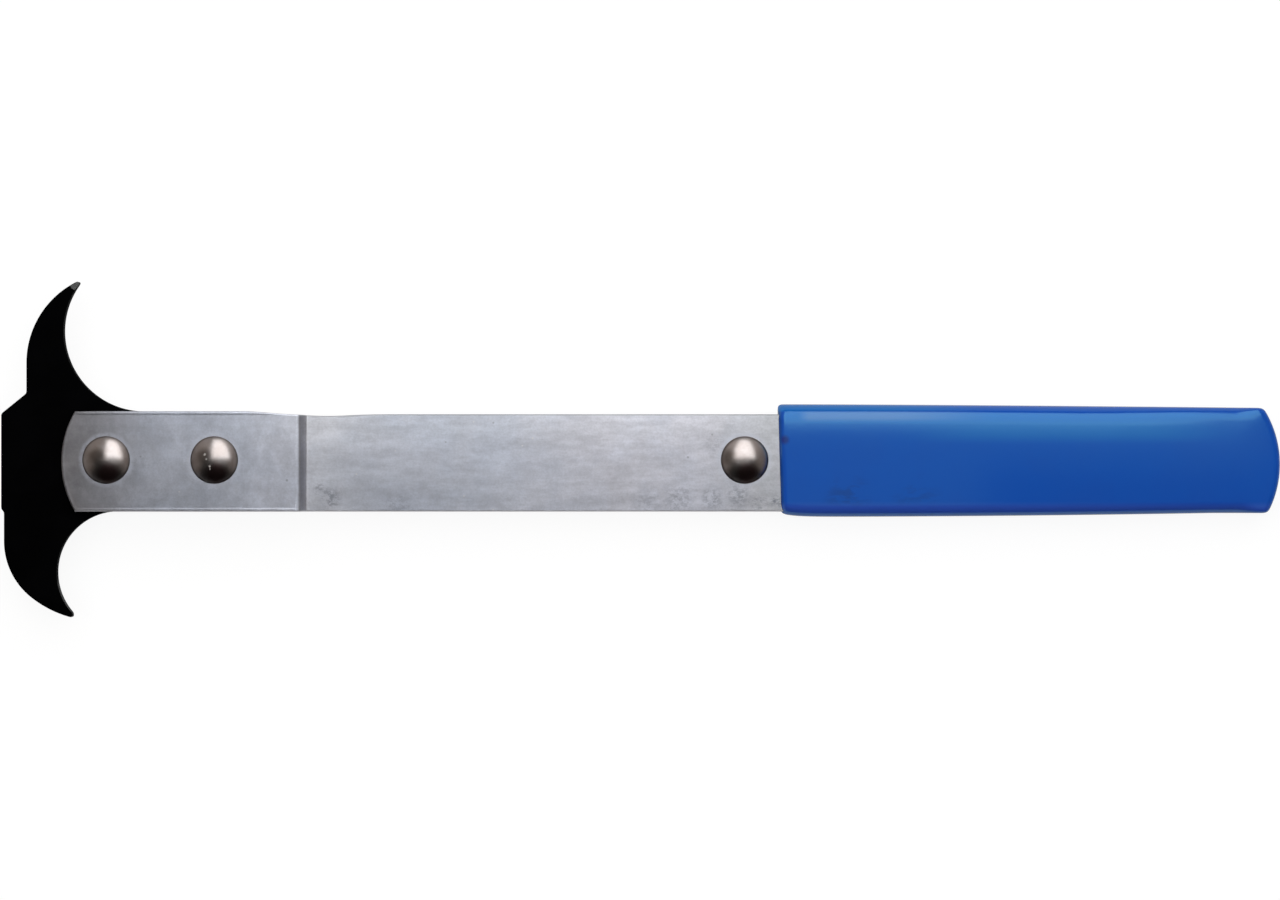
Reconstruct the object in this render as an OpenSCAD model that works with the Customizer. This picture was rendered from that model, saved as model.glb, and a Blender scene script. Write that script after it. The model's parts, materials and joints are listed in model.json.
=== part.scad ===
// Double hook tool for drawing shaft seals out of their seats.
//
// A flat two-clawed blade is held between two steel strips by domed rivets.
// Each strip is set outward round the blade's tang and lies against the
// other one along the handle, whose rear end wears a dipped soft sleeve.
//
// The tool is worked out straight in its own plan: x runs back from the nose,
// y points to the large claw and z = 0 is the middle of the blade's thickness.
// It is then laid down as it comes to rest, on the tang rivet's rear head and the
// grip's end, with the origin on the surface below the middle of its bounding box.

/* [Overall] */
// Length from the nose to the end of the grip
tool_l = 319; // [260:1:420]

/* [Hook blade] */
// Thickness of the blade
blade_t = 5; // [3:0.5:8]
// Width of the flat face of the nose
nose_w = 23.8; // [16:0.2:24.4]
// Slant of the shoulder from the nose to the large claw, in degrees
nose_slant = 39; // [20:1:50]
// Clearance between the tang's edges and the strips' edges
tang_inset = 0.3; // [0.2:0.1:1]
// Clearance between the tang's end and the set in the strips
tang_end_gap = 1; // [0.5:0.5:5]

/* [Large claw] */
// Reach of the tip above the tool's axis
big_reach = 45; // [42:0.5:45.5]
// Distance of the claw's outer side behind the nose
big_setback = 6.3; // [4:0.1:9]
// Radius of the outer curve
big_outer_r = 22.6; // [21:0.1:24]
// Height of the outer curve's centre above the axis
big_outer_y = 24.6; // [23:0.1:26]
// Radius of the throat
big_throat_r = 20; // [18:0.5:20]
// Distance of the throat's centre behind the nose
big_throat_x = 35.5; // [34:0.1:38]
// Lean of the ground tip into the throat from square to the outer curve, in degrees
big_tip_lean = 14; // [0:1:25]

/* [Small claw] */
// Reach of the tip below the tool's axis
small_reach = 39; // [37:0.5:39.4]
// Distance of the claw's outer side behind the nose
small_setback = 0.7; // [0.3:0.1:2]
// Radius of the outer curve next to the nose
small_heel_r = 17.9; // [17:0.1:19]
// Height of that curve's centre below the axis
small_heel_y = 19.9; // [19:0.1:21]
// Angle that the curve next to the nose turns through, in degrees
small_heel_a = 51; // [45:1:60]
// Radius of the flatter outer curve towards the tip
small_toe_r = 27; // [25:0.5:30]
// Radius of the throat
small_throat_r = 15.2; // [14:0.1:16]
// Distance of the throat's centre behind the nose
small_throat_x = 29; // [28.5:0.1:31]
// Lean of the ground tip away from the throat from square to the outer curve, in degrees
small_tip_lean = 12; // [0:1:20]

/* [Strips] */
// Width of the strips
strip_w = 25; // [24:0.5:30]
// Thickness of one strip
strip_t = 3; // [2:0.25:4]
// Rounding of the strips' long edges
strip_edge_r = 0.3; // [0.2:0.1:0.9]
// Distance of the strips' front ends behind the nose
strip_front_x = 15.3; // [12:0.1:18]
// Radius of the strips' round front ends, in plan
strip_front_r = 24.7; // [16:0.1:40]
// Distance of the middle of the set behind the nose
set_x = 75.3; // [70:0.1:110]
// Slope of the set, in degrees
set_a = 42; // [35:1:50]
// Radius of the set's bends
set_r = 1; // [0.5:0.1:1.5]

/* [Rivets] */
// Diameter of the shanks
shank_d = 7; // [5:0.5:8]
// Diameter of the domed heads
head_d = 12; // [10:0.5:16]
// Height of the domed heads
head_h = 2.6; // [2:0.1:5]
// Distance of the nose rivet behind the nose
nose_rivet_x = 26.5; // [24:0.1:30]
// Distance of the tang rivet behind the nose
tang_rivet_x = 53.4; // [44:0.1:58]
// Distance of the handle rivet in front of the grip's mouth
handle_rivet_gap = 8.4; // [8:0.1:60]
// Distance of the rivets' row from the strips' axis, towards the large claw
rivet_y = 0.35; // [-1:0.05:1]

/* [Grip] */
// Length of the grip along its middle
grip_l = 125.1; // [60:0.1:126]
// Thickness of the sleeve's wall on the strips' edges, at the mouth
grip_side_wall = 1.6; // [1.2:0.05:4]
// Narrowing of each side of the sleeve from the mouth to the round end
grip_narrowing = 0.8; // [0:0.05:0.8]
// Thickness of the sleeve's wall on the strips' faces
grip_face_wall = 1.8; // [1.6:0.1:2.4]
// Thickness of the sleeve's wall beyond the strips' rear ends
grip_end_wall = 1.6; // [1.4:0.1:4]
// Rounding of the grip's edges
grip_edge_r = 2.8; // [1.2:0.1:3]
// Rise of the crowned faces from their edges to the flat middle
grip_crown = 0.4; // [0.1:0.05:0.6]
// Distance from the grip's edges at which the faces become flat
grip_crown_w = 9; // [6:0.5:10]
// Radius of the grip's round end, in plan
grip_end_r = 25; // [18:0.5:40]
// Slant of the grip's mouth, in degrees
mouth_slant = 2; // [0:0.1:6]

/* [Hidden] */

// Fineness of round surfaces in the preview
$fn = 128;

// Overlap that makes a cutting shape pass right through
cut = 1;

// Half of the set's length, from its slope and its bends
set_slope_l = (blade_t / 2 - 2 * set_r * (1 - cos(set_a))) / tan(set_a);
set_half_l = set_r * sin(set_a) + set_slope_l / 2;
set_start_x = set_x - set_half_l;
set_end_x = set_x + set_half_l;

// Flats that round off each long edge of a strip, and that each bend of the set is made of
strip_edge_steps = 3;
set_steps = 6;
quarter_turn = 90;

// The blade between the strips
tang_w = strip_w - 2 * tang_inset;
tang_end_x = set_start_x - tang_end_gap;

// Half thickness of the stack of pieces at the blade and along the handle
head_stack = blade_t / 2 + strip_t;
tail_stack = strip_t;

// Sphere that a rivet's dome is a cap of
dome_r = (pow(head_d / 2, 2) + pow(head_h, 2)) / (2 * head_h);

// Plan of the grip, and the strips' rear ends inside it
mouth_x = tool_l - grip_l;
grip_mouth_w = strip_w + 2 * grip_side_wall;
grip_end_x = tool_l - grip_end_r;
grip_taper = atan(grip_narrowing / (grip_end_x - mouth_x));
strip_end_r = grip_end_r - grip_end_wall;
handle_rivet_x = mouth_x - handle_rivet_gap;

// Section of the grip's edge: an arc that runs into the crowned face
grip_half_t = tail_stack + grip_face_wall;
crown_slope = 2 * grip_crown / (grip_crown_w - grip_edge_r);
edge_turn = 90 - atan(crown_slope);
edge_inset = grip_edge_r * (1 - cos(edge_turn));
crown_run = grip_crown_w - edge_inset;
edge_z = grip_half_t - crown_slope * crown_run / 2 - grip_edge_r * sin(edge_turn);
edge_steps = 5;
crown_steps = 3;
end_steps = 18;

// How far the tool tips back when it lies on its tang rivet: until the handle
// rivet's head or a level of the grip's end meets the surface
head_dome_z = head_stack + head_h - dome_r;
tail_dome_z = tail_stack + head_h - dome_r;
tip_on_head = atan((head_dome_z - tail_dome_z) / (handle_rivet_x - tang_rivet_x));
tip_on_grip = min([for (level = grip_levels())
    let (reach = tool_l - level[0] - tang_rivet_x, drop = head_dome_z - level[1])
    atan(drop / reach) + asin(dome_r / norm([reach, drop]))]);
rest_tilt = min(tip_on_head, tip_on_grip);
rest_lift = tang_rivet_x * sin(rest_tilt) + head_dome_z * cos(rest_tilt) + dome_r;

// Middle of the bounding box of the tool as it lies
low_x = -blade_t / 2 * sin(rest_tilt);
high_x = tool_l * cos(rest_tilt) + edge_z * sin(rest_tilt);
mid_x = (low_x + high_x) / 2;
mid_y = (big_reach - small_reach) / 2;

// Lays the straight tool down as it comes to rest
module laid() {
    translate([-mid_x, -mid_y, rest_lift])
        rotate([0, rest_tilt, 0])
            children();
}

// What is ground off a claw: all that lies to one side of a line that leaves
// the outer curve at the tip, nearly square to it, and runs into the throat
module ground_off(tip, centre, lean, throat_r, side) {
    inward = centre - tip;
    translate(tip)
        rotate(atan2(inward[1], inward[0]) + lean)
            translate([-cut, min(0, side * throat_r)])
                square([throat_r + cut, throat_r]);
}

// Large claw: a half disc on a block, hollowed by its throat
module big_claw() {
    outer = [big_setback + big_outer_r, big_outer_y];
    tip_x = outer[0] - sqrt(pow(big_outer_r, 2) - pow(big_reach - big_outer_y, 2));
    difference() {
        union() {
            intersection() {
                translate(outer)
                    circle(r = big_outer_r);
                translate([0, big_outer_y])
                    square([2 * outer[0], big_outer_r + cut]);
            }
            translate([big_setback, 0])
                square([big_throat_x - big_setback, big_outer_y]);
        }
        translate([big_throat_x, strip_w / 2 + big_throat_r])
            circle(r = big_throat_r);
        ground_off([tip_x, big_reach], outer, big_tip_lean, big_throat_r, 1);
    }
}

// Small claw: two discs that run into each other and a block, hollowed by its throat
module small_claw() {
    heel = [small_setback + small_heel_r, -small_heel_y];
    toe = heel + (small_toe_r - small_heel_r) * [cos(small_heel_a), sin(small_heel_a)];
    tip_x = toe[0] - sqrt(pow(small_toe_r, 2) - pow(small_reach + toe[1], 2));
    difference() {
        union() {
            intersection() {
                translate(heel)
                    circle(r = small_heel_r);
                translate([0, heel[1] - small_heel_r - cut])
                    square([2 * heel[0], small_heel_r + cut]);
            }
            intersection() {
                translate(toe)
                    circle(r = small_toe_r);
                translate(heel)
                    rotate(180 + small_heel_a)
                        square([small_toe_r, small_toe_r]);
            }
            translate([small_setback, heel[1]])
                square([small_throat_x - small_setback, small_heel_y]);
        }
        translate([small_throat_x, -strip_w / 2 - small_throat_r])
            circle(r = small_throat_r);
        ground_off([tip_x, -small_reach], toe, small_tip_lean, small_throat_r, -1);
    }
}

// Nose with its slanted shoulder, and the tang
module blade_core() {
    shoulder_y = nose_w / 2 + big_setback * tan(nose_slant);
    root_x = big_setback + strip_w / 2;
    polygon([
        [0, -nose_w / 2],
        [small_setback, -nose_w / 2 - small_setback],
        [root_x, -nose_w / 2 - small_setback],
        [root_x, nose_w / 2],
        [big_setback, shoulder_y],
        [0, nose_w / 2]
    ]);
    translate([big_setback, -tang_w / 2])
        square([tang_end_x - big_setback, tang_w]);
}

module hook_blade() {
    color("#0c0c0d") laid()
        difference() {
            translate([0, 0, -blade_t / 2])
                linear_extrude(height = blade_t) {
                    blade_core();
                    big_claw();
                    small_claw();
                }
            rivet_hole(nose_rivet_x);
            rivet_hole(tang_rivet_x);
        }
}

module rivet_hole(x) {
    translate([x, rivet_y, -head_stack - cut])
        cylinder(d = shank_d, h = 2 * (head_stack + cut));
}

// Section of a strip, as points across its width and up from its inner face
function strip_section() =
    let (
        side = strip_w / 2 - strip_edge_r,
        low = strip_edge_r,
        high = strip_t - strip_edge_r,
        corners = [[side, high], [-side, high], [-side, low], [side, low]]
    )
    [for (c = [0 : 3]) for (k = [0 : strip_edge_steps])
        let (a = quarter_turn * (c + k / strip_edge_steps))
            corners[c] + strip_edge_r * [cos(a), sin(a)]];

// Path of a strip's inner face, as places and heights: a bend down, a slope and a bend back
function strip_path() =
    concat(
        [[0, blade_t / 2]],
        [for (k = [0 : set_steps]) let (a = set_a * k / set_steps)
            [set_start_x + set_r * sin(a), blade_t / 2 - set_r * (1 - cos(a))]],
        [for (k = [set_steps : -1 : 0]) let (a = set_a * k / set_steps)
            [set_end_x - set_r * sin(a), set_r * (1 - cos(a))]],
        [[tool_l, 0]]
    );

// Body through rings of points, each ring anticlockwise about the way they follow each other
module ringed_body(rings) {
    n = len(rings[0]);
    top = len(rings) - 1;
    walls = [for (j = [0 : top - 1]) for (i = [0 : n - 1])
        let (k = (i + 1) % n, a = j * n + i, b = j * n + k, c = a + n, d = b + n)
        each [[a, c, b], [b, c, d]]];
    caps = [[for (i = [0 : n - 1]) i], [for (i = [n - 1 : -1 : 0]) top * n + i]];
    polyhedron([for (ring = rings) each ring], concat(walls, caps));
}

// Bar of the strip on the viewer's side, pressed into its set at an even height
module strip_bar() {
    ringed_body([for (at = strip_path())
        [for (p = strip_section()) [at[0], p[0], at[1] + p[1]]]]);
}

// Plan of a strip between its round ends
module strip_plan() {
    intersection() {
        translate([strip_front_x + strip_front_r, 0])
            union() {
                circle(r = strip_front_r);
                translate([0, -strip_w])
                    square([tool_l, 2 * strip_w]);
            }
        union() {
            translate([grip_end_x, 0])
                circle(r = strip_end_r);
            translate([0, -strip_w])
                square([grip_end_x, 2 * strip_w]);
        }
    }
}

module strip() {
    difference() {
        intersection() {
            strip_bar();
            translate([0, 0, -cut])
                linear_extrude(height = head_stack + 2 * cut)
                    strip_plan();
        }
        rivet_hole(nose_rivet_x);
        rivet_hole(tang_rivet_x);
        rivet_hole(handle_rivet_x);
    }
}

module front_strip() {
    color("#a9acb4") laid()
        strip();
}

module rear_strip() {
    color("#a9acb4") laid()
        mirror([0, 0, 1])
            strip();
}

// Half of a rivet's section: shank, and a domed head above the stack
module rivet_section(stack) {
    square([shank_d / 2, stack + head_h / 2]);
    intersection() {
        translate([0, stack])
            square([head_d, head_h + cut]);
        translate([0, stack + head_h - dome_r])
            circle(r = dome_r);
    }
}

module rivet(x, stack) {
    color("#6f6862") laid()
        translate([x, rivet_y, 0])
            rotate_extrude() {
                rivet_section(stack);
                mirror([0, 1]) rivet_section(stack);
            }
}

module nose_rivet() {
    rivet(nose_rivet_x, head_stack);
}

module tang_rivet() {
    rivet(tang_rivet_x, head_stack);
}

module handle_rivet() {
    rivet(handle_rivet_x, tail_stack);
}

// Plan of the grip, set in from its widest by an amount: two tapered sides
// between a slanted mouth and a round end
function grip_outline(inset) =
    let (
        lean = tan(mouth_slant),
        taper = tan(grip_taper),
        x = mouth_x + inset / cos(mouth_slant),
        y = grip_mouth_w / 2 - inset / cos(grip_taper),
        upper_x = (x - lean * (y + taper * mouth_x)) / (1 - lean * taper),
        lower_x = (x + lean * (y + taper * mouth_x)) / (1 + lean * taper),
        side = y * cos(grip_taper) - (grip_end_x - mouth_x) * sin(grip_taper),
        end_r = grip_end_r - inset,
        end_a = asin(side / end_r) - grip_taper
    )
    concat(
        [[lower_x, (lower_x - mouth_x) * taper - y]],
        [for (k = [0 : end_steps]) let (a = end_a * (2 * k / end_steps - 1))
            [grip_end_x + end_r * cos(a), end_r * sin(a)]],
        [[upper_x, y - (upper_x - mouth_x) * taper]]
    );

// Inset and height of each level of the grip's upper half, from its side up
function grip_levels() =
    concat(
        [for (k = [0 : edge_steps]) let (a = edge_turn * k / edge_steps)
            [grip_edge_r * (1 - cos(a)), edge_z + grip_edge_r * sin(a)]],
        [for (k = [1 : crown_steps]) let (u = k / crown_steps)
            [edge_inset + crown_run * u, grip_half_t - crown_slope * crown_run / 2 * pow(1 - u, 2)]]
    );

// Outer form of the grip: its plan, set in level by level towards both faces
module grip_body() {
    upper = grip_levels();
    last = len(upper) - 1;
    levels = concat([for (k = [0 : last]) [upper[last - k][0], -upper[last - k][1]]], upper);
    rings = [for (l = levels) [for (p = grip_outline(l[0])) [p[0], p[1], l[1]]]];
    ringed_body(rings);
}

module grip() {
    color("#1f4fa6") laid()
        difference() {
            grip_body();
            intersection() {
                translate([0, 0, -strip_t])
                    linear_extrude(height = 2 * strip_t)
                        strip_plan();
                translate([0, -strip_w / 2, -grip_half_t])
                    cube([tool_l, strip_w, 2 * grip_half_t]);
            }
        }
}

hook_blade();
front_strip();
rear_strip();
nose_rivet();
tang_rivet();
handle_rivet();
grip();
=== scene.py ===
"""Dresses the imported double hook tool: blade, strips, rivets and grip, and the stage it lies on."""

import json
import math

import bpy
import numpy as np
from bpy.props import FloatProperty, FloatVectorProperty, PointerProperty
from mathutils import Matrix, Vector
from mathutils.geometry import delaunay_2d_cdt


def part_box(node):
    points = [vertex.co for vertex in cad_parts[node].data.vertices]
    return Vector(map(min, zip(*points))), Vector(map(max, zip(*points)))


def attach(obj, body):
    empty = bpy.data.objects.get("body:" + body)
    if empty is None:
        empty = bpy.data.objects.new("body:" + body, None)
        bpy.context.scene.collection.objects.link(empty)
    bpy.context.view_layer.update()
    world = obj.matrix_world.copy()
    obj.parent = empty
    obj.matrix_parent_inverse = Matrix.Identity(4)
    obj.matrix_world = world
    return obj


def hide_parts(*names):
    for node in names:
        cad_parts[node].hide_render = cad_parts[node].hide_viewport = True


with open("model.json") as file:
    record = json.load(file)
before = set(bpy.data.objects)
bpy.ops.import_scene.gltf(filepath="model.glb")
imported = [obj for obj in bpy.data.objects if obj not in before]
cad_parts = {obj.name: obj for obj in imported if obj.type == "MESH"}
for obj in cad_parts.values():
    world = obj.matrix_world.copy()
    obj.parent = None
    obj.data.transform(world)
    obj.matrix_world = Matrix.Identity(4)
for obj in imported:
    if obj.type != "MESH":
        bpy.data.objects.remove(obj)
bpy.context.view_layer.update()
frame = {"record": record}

bl_info = {
    "name": "Double Hook Tool",
    "version": (1, 0, 0),
    "blender": (4, 5, 0),
    "location": "3D View > Sidebar > Hook Tool",
    "description": "Builds the blade, strips, rivets and grip of a double hook tool",
    "category": "Add Mesh",
}

BODY = "root"
MM = 0.001
HAIR = 0.02 * MM  # the least that is kept between two surfaces


# Sizes and colours


def length(name, description, default):
    """A length property, in metres."""
    return FloatProperty(
        name=name, description=description, default=default, min=0.0, unit="LENGTH", precision=5
    )


def angle(name, description, degrees):
    """An angle property, given in degrees."""
    return FloatProperty(
        name=name, description=description, default=math.radians(degrees), unit="ROTATION"
    )


def share(name, description, default):
    """A plain number from nothing up."""
    return FloatProperty(name=name, description=description, default=default, min=0.0)


def colour(name, description, default):
    """A linear colour."""
    return FloatVectorProperty(
        name=name, description=description, default=default, subtype="COLOR", min=0.0, max=1.0
    )


class HOOKTOOL_PG_blade(bpy.types.PropertyGroup):
    """Outline and finish of the blade."""

    thickness: length("Thickness", "Thickness of the plate", 0.005)
    nose_width: length("Nose width", "Straight end of the nose", 0.0238)
    nose_slant: angle("Nose slant", "Lean of the shoulder above the nose", 39)
    large_setback: length("Large setback", "Large claw's back, behind the nose", 0.0063)
    large_outer: length("Large outer radius", "Radius of the large claw's back", 0.0226)
    large_outer_y: length("Large centre", "Height of the large claw's back centre", 0.0246)
    large_reach: length("Large reach", "Height of the large tip", 0.045)
    large_throat: length("Large throat", "Radius of the large throat", 0.020)
    large_throat_x: length("Large throat place", "Large throat's centre, behind the nose", 0.0355)
    large_lean: angle("Large tip lean", "Lean of the cut across the large tip", 14)
    small_setback: length("Small setback", "Small claw's back, behind the nose", 0.0007)
    small_heel: length("Small heel radius", "Radius of the small claw's back", 0.0179)
    small_heel_y: length("Small heel place", "Depth of the small heel's centre", 0.0199)
    small_heel_turn: angle("Small heel turn", "How far the heel's arc turns", 51)
    small_toe: length("Small toe radius", "Radius of the back near the small tip", 0.027)
    small_reach: length("Small reach", "Depth of the small tip", 0.039)
    small_throat: length("Small throat", "Radius of the small throat", 0.0152)
    small_throat_x: length("Small throat place", "Small throat's centre, behind the nose", 0.029)
    small_lean: angle("Small tip lean", "Lean of the cut across the small tip", 12)
    tang_inset: length("Tang inset", "How much narrower the tang is than a strip", 0.0003)
    tang_gap: length("Tang gap", "Room between the tang and the set", 0.001)
    edge: length("Edge break", "Radius of the plate's edges", 0.00016)
    corner: length("Corner softness", "How far the outline's corners are softened", 0.00034)
    black: colour("Black", "Blackened steel", (0.0003, 0.0003, 0.0004))
    bare: colour("Bare steel", "Ground steel at the tips", (0.16, 0.165, 0.165))


class HOOKTOOL_PG_strip(bpy.types.PropertyGroup):
    """Sizes and finish of the two strips."""

    width: length("Width", "Width of the bar", 0.025)
    thickness: length("Thickness", "Thickness of the bar", 0.003)
    edge: length("Edge radius", "Radius of the bar's edges", 0.0003)
    front_x: length("Front", "Front end, behind the nose", 0.0153)
    front_radius: length("Front radius", "Radius of the front end", 0.0247)
    rear_x: length("Rear", "Rear end inside the grip, behind the nose", 0.3174)
    rear_radius: length("Rear radius", "Radius of the rear end", 0.0234)
    set_x: length("Set", "Start of the set, behind the nose", 0.0735)
    set_slope: angle("Set slope", "Slope of the set", 55)
    set_brow: length("Set brow", "Radius of the set's upper bend", 0.0019)
    set_foot: length("Set foot", "Radius of the set's lower bend", 0.0005)
    relief: length("Relief", "How much the long side's upper edge runs in behind the set", 0.00076)
    lip: length("Lip", "Height of the lip that shearing left along the edges", 0.00003)
    zinc: colour("Zinc", "Plated steel", (0.615, 0.643, 0.726))


class HOOKTOOL_PG_rivet(bpy.types.PropertyGroup):
    """Sizes and finish of the rivets."""

    shank: length("Shank", "Diameter of the shank", 0.007)
    head: length("Head", "Diameter of a head", 0.012)
    head_height: length("Head height", "Height of a domed head", 0.002599)
    nose_x: length("Nose rivet", "Place behind the nose", 0.0265)
    tang_x: length("Tang rivet", "Place behind the nose", 0.0534)
    handle_x: length("Handle rivet", "Place behind the nose", 0.1855)
    row_y: length("Row", "Place of the row of rivets, beside the axis", 0.00035)
    steel: colour("Rivet steel", "Warm grey steel", (0.575, 0.533, 0.523))


class HOOKTOOL_PG_grip(bpy.types.PropertyGroup):
    """Sizes and finish of the grip."""

    length: length("Length", "From the mouth to the round end", 0.1248)
    upper: length("Upper side", "From the axis to the upper side, at the mouth", 0.01427)
    upper_fall: length("Upper fall", "How far the upper side runs in towards the end", 0.00075)
    lower: length("Lower side", "From the axis to the lower side, at the mouth", 0.01385)
    lower_fall: length("Lower fall", "How far the lower side runs in towards the end", 0.0009)
    heel: length("Lower corner", "How far the mouth's lower corner is worn in", 0.00095)
    half_thickness: length("Half thickness", "Half of the thickness", 0.0048)
    edge: length("Edge radius", "Radius of the upper long edges", 0.0046)
    edge_low: length("Lower edge radius", "Radius of the lower long edges", 0.0030)
    edge_end: length("End edge radius", "Radius of the round end's edges", 0.0014)
    mouth_edge: length("Mouth edge", "Radius of the mouth's edge", 0.0021)
    crown: length("Crown", "Rise of the faces inside the edges", 0.00018)
    crown_width: length("Crown width", "How far in from the side a face rises", 0.0115)
    end_radius: length("End radius", "Radius of the round end", 0.026)
    end_y: FloatProperty(name="End", description="Round end's centre, across", default=-0.0007)
    mouth_slant: angle("Mouth slant", "Lean of the mouth", 1.7)
    vinyl: colour("Vinyl", "Dipped vinyl", (0.0045, 0.0665, 0.424))
    sheen: colour("Sheen", "Tint of the gloss", (0.26, 0.95, 1.0))


class HOOKTOOL_PG_stage(bpy.types.PropertyGroup):
    """Camera, lamps and floor."""

    distance: length("Distance", "From the camera to the tool", 1.401)
    lens: share("Lens", "Focal length in millimetres", 158.0)
    look_x: FloatProperty(name="Look at, along", description="Place along the tool", default=0.1594)
    look_y: FloatProperty(name="Look at, across", description="Place across it", default=0.00284)
    lamp_z: length("Lamp height", "Height of the soft box over the tool", 0.235)
    glow: share("Glow", "Strength of the soft box", 1.1)
    fill_power: share("Fill power", "Power of the soft light over it all, in watts", 32.0)
    room: share("Room", "Strength of the room's own light", 0.004)
    walls: share("Walls", "Strength of the room's light to the left and right", 0.18)
    far: share("Far side", "Strength of the room's light on the far side", 0.125)


# Spacing of the points of the blade's and the grip's outlines before they are softened, and the
# room between a face's outline and its inner points
BLADE_STEP, GRIP_STEP, FACE_ROOM = 0.16 * MM, 0.1 * MM, 0.35 * MM

# How many sides a round rivet has
RIVET_SIDES = 96

# Depth, place behind the set's start and half length of the waist in the strips' upper side
WAIST = (0.00042, 0.008, 0.0075)

# Length over which the grip's sides run in, and over which its worn corner fades
SIDE_RUN, WEAR_RUN = 0.105, 0.003

# How far the strips' room in the grip starts before its mouth
ROOM_LEAD = 0.004

# Parts of the soft box over the tool, each as left, right, lower and upper side, and strength
SOFT_BOX = {
    "box": (0.0, 0.36, 0.03, 0.86, 1.27),
    "box_near": (0.0, 0.13, 0.03, 0.86, 0.30),
    "box_left": (0.0, 0.085, 0.09, 0.36, 3.8),
    "box_rim": (-0.12, 0.36, 0.0, 0.03, 0.18),
    "box_below": (0.06, 0.26, -0.06, 0.03, 0.15),
}

GROUPS = {
    "blade": HOOKTOOL_PG_blade,
    "strip": HOOKTOOL_PG_strip,
    "rivet": HOOKTOOL_PG_rivet,
    "grip": HOOKTOOL_PG_grip,
    "stage": HOOKTOOL_PG_stage,
}


class HOOKTOOL_PG_all(bpy.types.PropertyGroup):
    """Every group of sizes."""

    blade: PointerProperty(type=HOOKTOOL_PG_blade)
    strip: PointerProperty(type=HOOKTOOL_PG_strip)
    rivet: PointerProperty(type=HOOKTOOL_PG_rivet)
    grip: PointerProperty(type=HOOKTOOL_PG_grip)
    stage: PointerProperty(type=HOOKTOOL_PG_stage)


# Place of the tool


def rest():
    """Where the tool lies: its nose's middle and the cosine and sine of how far it tips back."""
    nose = next(m for m in frame["record"]["mounts"] if m["name"] == "nose_face")
    ax, _, az = nose["axis"]
    size = math.hypot(ax, az)
    return np.array(nose["pos_m"]), -ax / size, az / size


def lay(points):
    """Turns points of the straight tool about the line across its nose, and moves them to where it
    lies: x' = x cos t + z sin t, z' = z cos t - x sin t, plus the nose's place."""
    nose, c, s = rest()
    p = np.asarray(points, float)
    turned = np.stack([p[..., 0] * c + p[..., 2] * s, p[..., 1], p[..., 2] * c - p[..., 0] * s], -1)
    return turned + nose


# Surfaces


def arc(centre, radius, start, end, count):
    """Points at even angles on a circle: centre + radius (cos a, sin a), a from start to end."""
    a = np.linspace(start, end, count)
    return np.asarray(centre) + radius * np.stack([np.cos(a), np.sin(a)], 1)


def closed(points):
    """An outline with its first point again at its end, and how far along it each point lies."""
    loop = np.vstack([points, points[:1]])
    return loop, np.concatenate([[0.0], np.cumsum(np.linalg.norm(np.diff(loop, axis=0), axis=1))])


def read_off(loop, run, at):
    """The points of a closed outline at other places along it."""
    return np.stack([np.interp(at, run, loop[:, k]) for k in (0, 1)], 1)


def even(points, step):
    """A closed outline with its points set about step apart along its length."""
    loop, run = closed(points)
    return read_off(loop, run, np.linspace(0.0, run[-1], int(run[-1] / step), endpoint=False))


def soften(points, reach):
    """A closed outline of even points, with its corners softened: each point becomes the mean of
    its neighbours, weighted by a bell curve of that reach. The outline is taken as complex
    numbers, and its quick turns are damped."""
    z = points[:, 0] + 1j * points[:, 1]
    step = np.mean(np.abs(np.roll(z, -1) - z))
    turns = np.fft.fftfreq(len(z), step)
    z = np.fft.ifft(np.fft.fft(z) * np.exp(-2.0 * (math.pi * turns * reach) ** 2))
    return np.stack([z.real, z.imag], 1)


def inward(points):
    """Unit vectors that point into an anticlockwise closed outline, square to it at each point."""
    t = np.roll(points, -1, 0) - np.roll(points, 1, 0)
    t /= np.linalg.norm(t, axis=1, keepdims=True)
    return np.stack([-t[:, 1], t[:, 0]], 1)


def walls(levels, count, first=0):
    """Quads between rings of count points that follow each other, each ring closed on itself."""
    j, i = np.meshgrid(np.arange(levels - 1), np.arange(count), indexing="ij")
    a, b = j * count + i, j * count + (i + 1) % count
    return (np.stack([a, b, b + count, a + count], -1).reshape(-1, 4) + first).astype(int)


def rounded(radius, top, turn, count):
    """The turn that rounds an edge, as inset from the side and height. It starts upright, a radius
    under the top: inset = radius (1 - cos a), height = top - radius + radius sin a."""
    a = np.linspace(0.0, turn, count)
    return np.column_stack([radius * (1 - np.cos(a)), top - radius + radius * np.sin(a)])


def circle_of(hole):
    """Centre and radius of a round hole."""
    centre = hole.mean(0)
    return centre, np.linalg.norm(hole[0] - centre)


def mirrored(top):
    """Levels of a whole plate, from those of its upper half, as inset and height."""
    return np.vstack([top[::-1] * [1, -1], top])


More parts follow.
